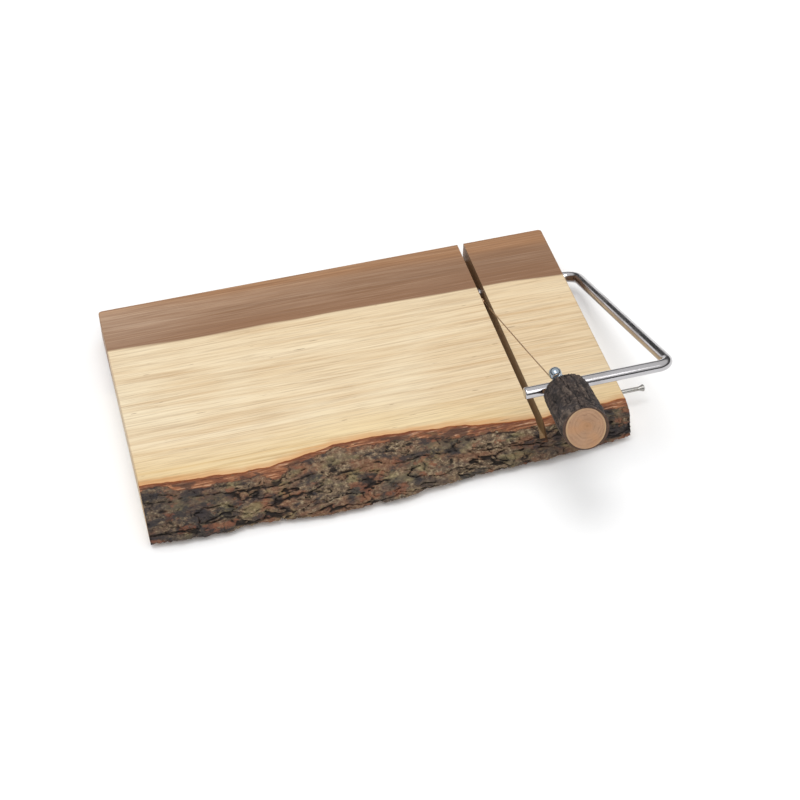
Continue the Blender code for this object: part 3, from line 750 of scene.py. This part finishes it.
def make_slab():
    """The plank: at each place along the log a loop of top, natural front, underside and
    back. Its arrises are quarter circles, and its back corners 0.7 of one in depth."""
    ease_by = 0.45 * MM
    corner = 2.5 * MM
    soft = 0.5 * MM
    inner = np.arange(-HALF + 1 * MM, HALF - 0.9 * MM, 1 * MM)
    x, drawn = end_stations(inner, ease_by, 4)
    x = x[:, None]
    drawn = drawn[:, None]
    past = np.clip(np.abs(x) - (HALF - corner), 0, corner)
    back = BACK - (corner - np.sqrt(corner ** 2 - past ** 2)) * 0.7 - drawn
    arc = np.linspace(0, math.pi / 2, 5)[None, :]
    top = SLAB_TOP - drawn
    low = SLAB_LOW + drawn

    over_y = back - soft + soft * np.cos(arc)
    over_z = top - soft + soft * np.sin(arc)
    share = np.linspace(0, 1, 90)[None, 1:-1]
    edge = wood_edge(x) + drawn
    top_y = back - soft + (edge - back + soft) * share
    top_z = top + 0 * share
    drop = np.linspace(0, 1, 26)[None, :]
    front_y = wood_face(x, drop) + drawn
    front_z = np.clip(SLAB_TOP - THICK * drop + 0 * x, low, top)
    under = np.linspace(0, 1, 14)[None, 1:-1]
    under_y = front_y[:, -1:] + (back - soft - front_y[:, -1:]) * under
    under_z = low + 0 * under
    turn_y = back - soft + soft * np.sin(arc)
    turn_z = low + soft - soft * np.cos(arc)
    slab = skin("slab", along_log(x, (over_y, top_y, front_y, under_y, turn_y),
                                  (over_z, top_z, front_z, under_z, turn_z)))
    beyond = HALF + 20 * MM
    bore = round_bar(Matrix.Translation(PIVOT) @ ALONG_X, ROD + ROD_CLEAR,
                     ROD_END - 1.5 * MM, beyond)
    nail = round_bar(PIN_FRAME, PIN + STUD_CLEAR, HALF - PIN_DEPTH - 0.3 * MM, beyond)
    take_out(slab, [slot_tool(), bore, nail])
    tidy_mesh(slab, 34)
    at = spots(slab)
    drop = np.clip((SLAB_TOP - at[:, 2]) / THICK, 0, 1)
    tag(slab, "from_bark", at[:, 1] - wood_face(at[:, 0], drop))
    return slab


def bark_height(x, down):
    """The crust's relief from 0 to 1. Broad lumps longer along the log, terraced flakes, and
    grain on them, less two sets of cracks, which run where a warped field crosses its
    middle value."""
    warp_x = field(31, 3, x / (11 * MM), down / (6 * MM)) - 0.5
    warp_s = field(41, 3, x / (10 * MM), down / (6 * MM)) - 0.5
    lumps = field(61, 3, x / (15 * MM), down / (8 * MM))
    flake = 7 * field(51, 2, x / (9 * MM) + 1.6 * warp_x, down / (4 * MM) + 1.6 * warp_s)
    stepped = (np.floor(flake) + ease(0.55, 1.0, flake % 1.0)) / 7
    grain = field(71, 3, x / (1.9 * MM), down / (1.4 * MM))
    long_seam = np.abs(field(81, 3, x / (24 * MM) + warp_s, down / (4.5 * MM) + warp_x) - 0.5)
    short_seam = np.abs(field(91, 2, x / (6 * MM) + 1.5 * warp_x,
                              down / (5 * MM) + 1.5 * warp_s) - 0.5)
    relief = 0.42 * lumps + 0.42 * stepped + 0.42 * grain - 0.10
    relief = relief - 0.34 * (1 - ease(0.0, 0.045, long_seam))
    relief = relief - 0.20 * (1 - ease(0.0, 0.05, short_seam))
    return np.clip(relief, 0, 1), lumps


def make_bark():
    """The bark left on the log. Its outer face goes from the wood's edge over the brow and
    down to the foot, and moves square to itself by its relief, or inwards no more than the
    bark is thick there. Its inner face is the wood's own, a small gap away."""
    x = np.linspace(-HALF, HALF, 460)[:, None]
    s = np.linspace(0, 1, 78)[None, :]
    gap = 0.15 * MM
    brow_share = 0.15
    sharp = 60
    over = np.clip(s / brow_share, 0, 1)
    drop = np.clip((s - brow_share) / (1 - brow_share), 0, 1) * BARK_DROP
    y = np.where(s < brow_share, wood_edge(x) - gap - (BROW - gap) * over,
                 bark_face(x, drop))
    sag = 1.1 * MM * ease(0.0, 1.0, over) * (1 - ease(0.0, 0.25, drop)) + 0.15 * MM
    z = SLAB_TOP - THICK * drop - sag
    down = np.concatenate((0 * x, np.cumsum(np.hypot(np.diff(y, axis=1), np.diff(z, axis=1)),
                                            axis=1)), axis=1)
    relief, lumps = bark_height(np.broadcast_to(x, down.shape), down)
    crust = ease(3.8 * MM, 4.8 * MM, down + (lumps - 0.5) * 9 * MM + (relief - 0.5) * 3 * MM)
    fibres = field(101, 2, x / (9 * MM), down / (0.8 * MM)) - 0.5
    thin = 0.3 * MM + 1.4 * MM * ease(6 * MM, 11 * MM, down)
    out = np.maximum(0.35 * MM + (relief - 0.5) * 3.4 * MM, -thin) * crust
    out = out + fibres * 0.5 * MM * (1 - crust) * ease(0.3 * MM, 1.5 * MM, down)
    dy = np.gradient(y, axis=1)
    dz = np.gradient(z, axis=1)
    size = np.hypot(dy, dz)
    y = y + out * dz / size
    z = np.clip(z - out * dy / size, SLAB_LOW + 0.3 * MM, SLAB_TOP)
    back_drop = (1 - s) * BARK_DROP
    inner_y = wood_face(x, back_drop) - gap
    inner_z = SLAB_TOP - 0.15 * MM - (THICK - 0.15 * MM) * back_drop + 0 * x
    inner_y[:, -1] = y[:, 0] + 0.02 * MM
    plain = 0 * inner_y
    bark = skin("bark", along_log(x, (y, inner_y), (z, inner_z)), "strip", sharp, {
        "relief": np.hstack((relief, plain + 0.5)),
        "from_wood": np.hstack((down, plain + 4 * MM)),
        "crust": np.hstack((crust, plain))})
    return soften(take_out(bark, [slot_tool()]), sharp)


# ---- metalwork

def make_rod():
    """One round bar bent twice, its ends dressed to a quarter circle, drilled for the stud."""
    corners = ((ROD_END, 0, 0), (SIDE_X, 0, 0), (SIDE_X, -ARM, 0), (ROD_END, -ARM, 0))
    path = rounded(corners, (8.5 * MM, 6.5 * MM), 30)
    soft = 0.9 * MM
    turn = np.linspace(0, math.pi / 2, 6)
    inset = np.outer(soft * (1 - np.cos(turn)), (1, 0, 0))
    tip = ROD - soft + soft * np.sin(turn)
    line = np.vstack((path[0] + inset, path[1:-1], (path[-1] + inset)[::-1]))
    radii = np.concatenate((tip, np.full(len(path) - 2, ROD), tip[::-1]))
    rod = placed(skin("bent_rod", tube_rings(line, radii, 48)), ARM_FRAME)
    take_out(rod, [round_bar(STUD_FRAME, STUD + STUD_CLEAR, -8 * MM, 8 * MM)])
    return tidy_mesh(rod, 40)


def make_wire():
    """The wire: hooked round the rod's end in the slot with its tail wound back on itself,
    drawn straight to the stud, and once round the stud's neck. It passes the ball head at
    the slot's own X, beside it by the head's and the wire's radii and a gap."""
    to_arm = ARM_FRAME.inverted() @ STUD_FRAME
    beside = BALL + STUD_CLEAR + WIRE
    ball = to_arm @ Vector((0, 0, -BALL_BACK))
    lean = math.asin((SLOT_X - ball.x) / beside)
    near = to_arm @ Vector((math.sin(lean) * beside, 0, -BALL_BACK))
    near.x = SLOT_X
    near += to_arm.to_3x3() @ Vector((0, -1, 0)) * math.cos(lean) * beside
    aim = Vector((0, near.y, near.z)).normalized()
    side = Vector((1, 0, 0))
    up = side.cross(aim)
    middle = Vector((SLOT_X, 0, 0))

    reach = 9 * MM
    tail_gap = 1 * MM
    tail_run = 4.6 * MM
    wound = 2.1 * WIRE
    wind = np.linspace(0, 4.5 * TAU, 90)
    tail = [middle + aim * (reach + tail_gap + tail_run * (1 - t / wind[-1]))
            + (side * math.cos(t) + up * math.sin(t)) * wound for t in wind]
    hook = ROD + STUD_CLEAR + WIRE
    half = math.acos(hook / reach)
    over = 0.95 * MM
    loop = [middle + (aim * math.cos(a) + up * math.sin(a)) * hook + side * over * share
            for a, share in zip(np.linspace(half, TAU - half, 60), np.linspace(1, 0, 60))]
    straight = [middle + aim * d for d in np.linspace(reach, reach + 6 * MM, 6)]
    stretch = [near - aim * BALL, near + aim * 1.7 * MM]
    ring = STUD + STUD_CLEAR + WIRE
    height = -ROD - ROD_CLEAR - NUT_THICK - STUD_CLEAR - 1.4 * WIRE
    turns = [to_arm @ Vector((ring * math.cos(a), ring * math.sin(a), height + h))
             for a, h in zip(np.linspace(-0.55 * math.pi, 1.9 * math.pi, 60),
                             np.linspace(0, -3.4 * WIRE, 60))]
    route = np.array([tuple(p) for p in tail + loop + straight + stretch + turns])
    route = even_line(route, 0.45 * MM)
    radii = np.full(len(route), WIRE)
    radii[[0, -1]] = 0.5 * WIRE
    return placed(skin("cutting_wire_drawn", tube_rings(route, radii, 10)), ARM_FRAME)


def even_line(route, pitch):
    """The same line with points evenly spread along it. Each point first moves halfway to
    its neighbours' middle, twice, which eases corners a little."""
    for _ in range(2):
        route[1:-1] = 0.25 * route[:-2] + 0.5 * route[1:-1] + 0.25 * route[2:]
    run = np.concatenate(([0], np.cumsum(np.linalg.norm(np.diff(route, axis=0), axis=1))))
    at = np.linspace(0, run[-1], int(run[-1] / pitch))
    return np.stack([np.interp(at, run, route[:, k]) for k in range(3)], -1)


def make_stud():
    """Ball head, plain neck, and a thread: the radius falls and rises in a V once each pitch
    along, shifted by the turn."""
    tip = REAR + STUD_PAST_REAR
    thread_start = -6.3 * MM
    pitch = 0.7 * MM
    depth = 0.38 * MM
    closed = 0.001 * MM
    turn = np.linspace(math.radians(36.7), math.pi, 28)[::-1]
    neck = np.linspace(-9.0, -6.4, 6) * MM
    shank = np.arange(thread_start, tip - 0.05 * MM, 0.07 * MM)
    z = np.concatenate((-BALL_BACK + BALL * np.cos(turn), neck, shank, (tip, tip + closed)))
    plain = np.concatenate((BALL * np.sin(turn), np.full(len(neck) + len(shank), STUD),
                            (1.5 * MM, closed)))
    plain[0] = closed
    a = even_angles(48)
    phase = (z[:, None] / pitch - a[None, :] / TAU) % 1.0
    groove = depth * (1 - np.abs(2 * phase - 1))
    cut_in = ease(thread_start, -5.9 * MM, z)[:, None] * (z < tip - 0.02 * MM)[:, None]
    radius = plain[:, None] - groove * cut_in
    rings = turned(radius, z[:, None], a)
    return placed(skin("ball_headed_stud", rings, "fan", 50), STUD_FRAME)


def make_nut(name, low):
    """A hex nut from low up: the smaller of the hexagon's reach, which is half its width over
    the cosine of the angle off a flat's middle, and two chamfer cones. Bored through."""
    across, hole, mouth = 3.5 * MM, 2.2 * MM, 2.45 * MM
    steps = np.array([0, 0.03, 0.12, 0.25, 0.4, 0.7, 1.2, 1.7, 2.0, 2.15, 2.28, 2.37, 2.4]) * MM
    a = even_angles(96)
    hexagon = across / np.cos((a + math.pi / 6) % (math.pi / 3) - math.pi / 6)
    cone = 3.35 * MM + 1.75 * np.minimum(steps, NUT_THICK - steps)
    outer = np.minimum(hexagon[None, :], cone[:, None])
    bore_z = np.array([2.4, 2.1, 1.5, 0.9, 0.3, 0]) * MM
    bore = np.array([mouth, hole, hole, hole, hole, mouth])[:, None] + 0 * a[None, :]
    radius = np.vstack((outer, bore))
    rings = turned(radius, low + np.concatenate((steps, bore_z))[:, None], a)
    return placed(skin(name, rings, "loop", 30), STUD_FRAME)


def make_washer():
    """A plain washer: a flat ring whose rim is rounded over in two short chamfers."""
    rim, hole, soft = 4.5 * MM, 2.2 * MM, 0.18 * MM
    low, high = WASHER_LOW, WASHER_LOW + WASHER_THICK
    bit = 0.3 * soft
    profile = [(hole, high), (hole, low), (rim - soft, low), (rim - bit, low + bit),
               (rim, low + soft), (rim, high - soft), (rim - bit, high - bit),
               (rim - soft, high)]
    return lathe("plain_washer", profile, STUD_FRAME)


def make_pin():
    """A round nail: domed flared head, four ribs under it, blunt point. The profile gives
    radius and distance under the top of the head."""
    head_thick = 3.0 * MM
    rib, first_rib, rib_pitch = 1.12 * MM, 1.0 * MM, 0.9 * MM
    top = PIN_HEAD + head_thick
    start = HALF - PIN_DEPTH
    dome = [(0, 0), (1.1, 0.05), (1.7, 0.25), (1.95, 0.55), (2.0, 0.8), (1.9, 1.1), (1.5, 2.0),
            (1.25, 2.7)]
    profile = [(r * MM, top - down * MM) for r, down in dome] + [(PIN, PIN_HEAD)]
    for i in range(4):
        at = PIN_HEAD - first_rib - rib_pitch * i
        profile += [(PIN, at), (rib, at - 0.1 * MM), (rib, at - 0.25 * MM),
                    (PIN, at - 0.35 * MM)]
    profile += [(PIN, start + 3 * MM), (0.9 * MM, start + 1.4 * MM), (0, start)]
    return lathe("stop_nail", profile, PIN_FRAME)


# ---- handle

def twig_ring(radius, along, slant, a):
    """A ring whose radius swells twice around; slant tips it as the saw cut does."""
    r = radius + OVAL * np.cos(2 * a + 0.7)
    x = r * np.cos(a)
    y = r * np.sin(a)
    return np.stack((x, y + OFF_STUD, along - y * np.tan(slant)), -1)


def flare(share, a):
    """How much the wood widens over its last tenth, mostly above and below, where the saw
    has bruised the bark away: an S along times the squared sine around."""
    return ease(0.9, 1.0, share) * 1.15 * MM * np.sin(a) ** 2


def make_twig_bark():
    """Bark sleeve. Its outer radius moves by 2.8 mm times the relief less a half, where the
    relief is furrows long along the twig, crumble and broad lumps, less splits where a
    stretched field crosses its middle value. It is rounded at the rear and calm near the
    sawn face, and its inner wall follows the wood."""
    a = even_angles(260)[None, :]
    s = np.linspace(0, 1, 120)[:, None]
    length = FACE - REAR
    along = REAR + length * s
    wrap = turned(RADIUS, along, a)
    warp = rough(wrap / (5 * MM), 91, 3) - 0.5
    furrow = rough(wrap / np.array((1.5, 1.5, 8.0)) / MM + warp[..., None] * 0.9, 101, 3)
    split = np.abs(rough(wrap / np.array((2.6, 2.6, 14.0)) / MM + warp[..., None], 141, 3)
                   - 0.5)
    crumble = rough(wrap / (1.1 * MM), 111, 3)
    lump = rough(wrap / (9 * MM), 121, 2)
    relief = 0.55 * furrow + 0.28 * crumble + 0.25 * lump - 0.22 * (1 - ease(0, 0.05, split))
    round_rear = 0.8 * MM * (1 - ease(0, 0.06, s)) ** 2
    calm = ease(0.0, 0.03, s) * (1 - 0.85 * ease(0.93, 0.99, s))
    radius = RADIUS - round_rear + np.maximum((relief - 0.50) * 2.8, -1.1) * MM * calm
    outer = twig_ring(radius, along, SLANT * s, a)
    back = np.concatenate((np.linspace(1, 0.9, 6), np.linspace(0.7, 0, 4)))[:, None]
    inner = twig_ring(CORE + 0.1 * MM + flare(back, a), REAR + length * back, SLANT * back, a)
    sleeve = skin("twig_bark_sleeve", np.concatenate((outer, inner)), "loop", 60, {
        "relief": np.concatenate((relief, np.full(inner.shape[:2], 0.5))),
        "along": np.concatenate((s + 0 * a, back + 0 * a))})
    return placed(sleeve, STUD_FRAME)


def make_twig_core():
    """The twig's wood: bore, rear, sides, an eased rim and a sawn face. The face has saw
    marks fine across and long along the cut, a dip at the pith that fades as a bell curve,
    and faint rings, a sine of the distance from the pith."""
    around = 200
    a = even_angles(around)[None, :]
    flat_a = 0 * a
    length = FACE - REAR
    side = np.concatenate((np.linspace(0, 0.9, 5), np.linspace(0.92, 1, 5)))[1:, None]
    soft = 0.35 * MM
    turn = np.linspace(0, math.pi / 2, 5)[1:, None]
    shares = np.linspace(1, 0.01, 60)[1:, None]
    bore = 3.6 * MM
    bore_end = REAR + INSERT_LENGTH + 0.2 * MM
    centred = (0, OFF_STUD, 0)
    rows = [twig_ring(bore + flat_a, bore_end + flat_a, 0, a) - centred,
            twig_ring(bore + flat_a, REAR + flat_a, 0, a) - centred,
            twig_ring(CORE + flat_a, REAR + flat_a, 0, a)]
    rows += [twig_ring(CORE + flare(t, a), REAR + (length - soft) * t, SLANT * t, a)
             for t in side]
    rim = CORE + flare(1.0, a)
    rows += [twig_ring(rim - soft * (1 - np.cos(t)), FACE - soft + soft * np.sin(t), SLANT, a)
             for t in turn]
    body = np.concatenate([r.reshape(1, around, 3) for r in rows])
    flat = np.concatenate([twig_ring((rim - soft) * t, FACE + flat_a, SLANT, a)
                           for t in shares]).reshape(-1, around, 3)
    saw = field(131, 2, flat[..., 0] / (5 * MM), flat[..., 1] / (0.5 * MM))
    away = np.hypot(flat[..., 0] - PITH[0], flat[..., 1] - PITH[1])
    flat[..., 2] += (saw - 0.5) * 0.12 * MM - 0.25 * MM * np.exp(-(away / (0.6 * MM)) ** 2)
    flat[..., 2] += 0.03 * MM * np.sin(away * 5200 + 3 * saw)
    core = skin("twig_core", np.concatenate((body, flat)), "fan", 45)
    at = spots(core)
    tag(core, "from_pith", np.hypot(at[:, 0] - PITH[0], at[:, 1] - PITH[1]))
    up = at[:, 1] - OFF_STUD
    edge = CORE + flare(1.0, np.arctan2(up, at[:, 0]))
    tag(core, "from_rim", edge - np.hypot(at[:, 0], up))
    return placed(core, STUD_FRAME)


def make_insert():
    """Threaded insert: nine ribs outside, plain bore, a thin collar at its mouth. The profile
    gives radius and distance from the handle's rear."""
    end = INSERT_LENGTH / MM
    profile = [(2.2, end), (2.2, 0.3), (2.45, 0), (3.4, 0), (3.4, 0.8)]
    for i in range(9):
        at = 1.0 + 1.05 * i
        profile += [(3.15, at), (3.4, at + 0.25), (3.4, at + 0.6), (3.15, at + 0.85)]
    profile += [(3.15, end)]
    return lathe("thread_insert", np.array(profile) * MM + (0, REAR), STUD_FRAME)


# ---- feet

def make_foot(name, place):
    """Moulded foot: rounded rim, a shallow tread groove, a stepped well for its screw. The
    profile gives radius and height."""
    profile = [(7.0, 2.7), (7.0, 1.2), (6.9, 0.7), (6.65, 0.3), (6.3, 0.06), (6.0, 0.0),
               (5.3, 0.0), (5.15, 0.35), (4.7, 0.35), (4.55, 0.0), (3.35, 0.0), (3.1, 0.2),
               (3.1, 2.0), (1.6, 2.0), (1.6, 2.7)]
    return lathe(name, np.array(profile) * MM, place)


def make_foot_screw(name, place):
    """Countersunk screw. The cross recess is sunk where the smaller of the two distances
    from its middle lines is small and the larger is within its arms. The thread stands up
    in a V once each pitch along, shifted by the turn, and tapers with the point. Sizes are
    in millimetres until the end."""
    head, shank, tip = 2.9, 1.4, 10.8
    pitch, crest, taper = 1.1, 0.3, 2.4
    a = even_angles(96)[None, :]
    r = np.array([0.001, 0.3, 0.6, 0.9, 1.1, 1.3, 1.45, 1.6, 1.8, 2.1, 2.17])[:, None]
    px = r * np.cos(a)
    py = r * np.sin(a)
    across = np.minimum(np.abs(px), np.abs(py))
    reach = np.maximum(np.abs(px), np.abs(py))
    sunk = 0.75 * ease(0.52, 0.34, across) * ease(1.6, 1.25, reach)
    face = np.stack((px, py, 0.4 + sunk), -1)
    z = np.concatenate(([1.75, 1.8], np.arange(1.9, 10.5, 0.14), [10.75]))[:, None]
    left = (tip - z) / taper
    body = np.where(z < 1.82, head, shank) + 0 * a
    body = np.where(left < 1, shank * left + 0.02, body)
    phase = (z / pitch - a / TAU) % 1.0
    thread = crest * (1 - np.clip(np.abs(phase - 0.5) * 3.2, 0, 1))
    body = body - np.where(z > 3.4, crest - thread, 0) * np.clip(left, 0.1, 1)
    rings = np.concatenate((face, turned(body, z, a))) * MM
    return placed(skin(name, rings, "fan", 40), place)


# ---- put together

def show(piece, look, body, slot, *nodes):
    """Give the piece its finish, ride it on its body and let it stand for its CAD nodes."""
    piece.data.materials.clear()
    piece.data.materials.append(look)
    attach(piece, body)
    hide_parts(*nodes)


def furnish():
    """Every piece with its finish, body, material slot and the CAD node that it stands for."""
    chrome = metal_look("rod_chrome", (192, 190, 192), (150, 143, 140), 0.08, 0.20)
    zinc = metal_look("stud_zinc", (168, 180, 190), (128, 140, 150), 0.14, 0.28)
    drawn = metal_look("wire_steel", (196, 168, 138), (150, 122, 96), 0.24, 0.38, 700)
    nail = metal_look("pin_steel", (176, 174, 170), (136, 132, 126), 0.20, 0.34, 1200)
    brass = metal_look("insert_brass", (214, 178, 104), (160, 124, 70), 0.22, 0.36)
    plated = metal_look("screw_zinc", (200, 202, 204), (150, 150, 150), 0.22, 0.36)
    rubber = rubber_look()
    show(make_slab(), slab_wood(), "base", "slab_wood", "board")
    show(make_bark(), bark_look(), "base", "slab_bark", "bark_edge")
    show(make_pin(), nail, "base", "pin_steel", "stop_pin")
    show(make_rod(), chrome, "arm", "rod_chrome", "slicing_arm")
    show(make_wire(), drawn, "arm", "wire_steel", "cutting_wire")
    show(make_stud(), zinc, "arm", "stud_zinc", "ball_stud")
    show(make_nut("nut_behind_rod", -ROD - ROD_CLEAR - NUT_THICK), zinc, "arm", "stud_zinc",
         "rod_nut")
    show(make_nut("nut_before_handle", ROD + ROD_CLEAR), zinc, "arm", "stud_zinc",
         "handle_nut")
    show(make_washer(), zinc, "arm", "stud_zinc", "handle_washer")
    show(make_twig_bark(), twig_bark_look(), "handle", "twig_bark", "handle_bark")
    show(make_twig_core(), twig_wood_look(), "handle", "twig_wood", "handle_core")
    show(make_insert(), brass, "handle", "insert_brass", "handle_insert")
    for name, (x, y) in zip(("front_left", "front_right", "back_left", "back_right"), FEET):
        place = Matrix.Translation((x * MM, y * MM, 0))
        show(make_foot("rubber_foot_" + name, place), rubber, "base", "foot_rubber",
             "foot_" + name)
        show(make_foot_screw("screw_" + name, place), plated, "base", "screw_zinc",
             "foot_screw_" + name)


# ---- studio

def soft_lamp(name, way, spread, strength):
    """A far, wide lamp shining along way; spread is how many degrees across it looks."""
    lamp = bpy.data.lights.new(name, "SUN")
    lamp.angle = math.radians(spread)
    lamp.energy = strength
    holder = bpy.data.objects.new(name, lamp)
    bpy.context.scene.collection.objects.link(holder)
    holder.rotation_euler = Vector(way).to_track_quat("-Z", "Y").to_euler()


def sky_light():
    """A bright ceiling that darkens towards the walls. Its brightness follows how steeply a
    direction climbs: dark at and below eye level, nearly white overhead."""
    world = bpy.data.worlds.new("studio")
    bpy.context.scene.world = world
    world.use_nodes = True
    nodes = world.node_tree.nodes
    links = world.node_tree.links
    way = nodes.new("ShaderNodeTexCoord")
    split = nodes.new("ShaderNodeSeparateXYZ")
    level = nodes.new("ShaderNodeValToRGB")
    links.new(way.outputs["Generated"], split.inputs[0])
    links.new(split.outputs["Z"], level.inputs["Fac"])
    links.new(level.outputs["Color"], nodes["Background"].inputs["Color"])
    stops = ((0.0, 0.06), (0.32, 0.12), (0.54, 0.80), (0.80, 0.86), (1.0, 0.86))
    fill_ramp(level, [(at, (white, white, white, 1)) for at, white in stops])


def set_camera():
    """The camera that looks down on the board from the front left."""
    tilt, turn = 0.81437636, 0.27121639
    lens = bpy.data.cameras.new("camera")
    lens.sensor_width = 36
    lens.lens = 80.62
    lens.clip_end = 20
    camera = bpy.data.objects.new("camera", lens)
    bpy.context.scene.collection.objects.link(camera)
    camera.location = (-0.16094, -0.66498, 0.71349)
    camera.rotation_euler = (math.pi / 2 - tilt, 0, -turn)
    bpy.context.scene.camera = camera


def studio():
    """Floor, light and camera."""
    far = 4
    floor = put_mesh("backdrop_floor", [(-far, -far, 0), (far, -far, 0), (far, far, 0),
                                        (-far, far, 0)], [(0, 1, 2, 3)])
    floor.data.materials.append(floor_look())
    bpy.context.scene.view_settings.view_transform = "Standard"
    sky_light()
    soft_lamp("key", (0.17, 0.09, -1.0), 24, 0.90)
    soft_lamp("fill", (-0.05, 0.62, -1.0), 34, 0.58)
    set_camera()


furnish()
studio()
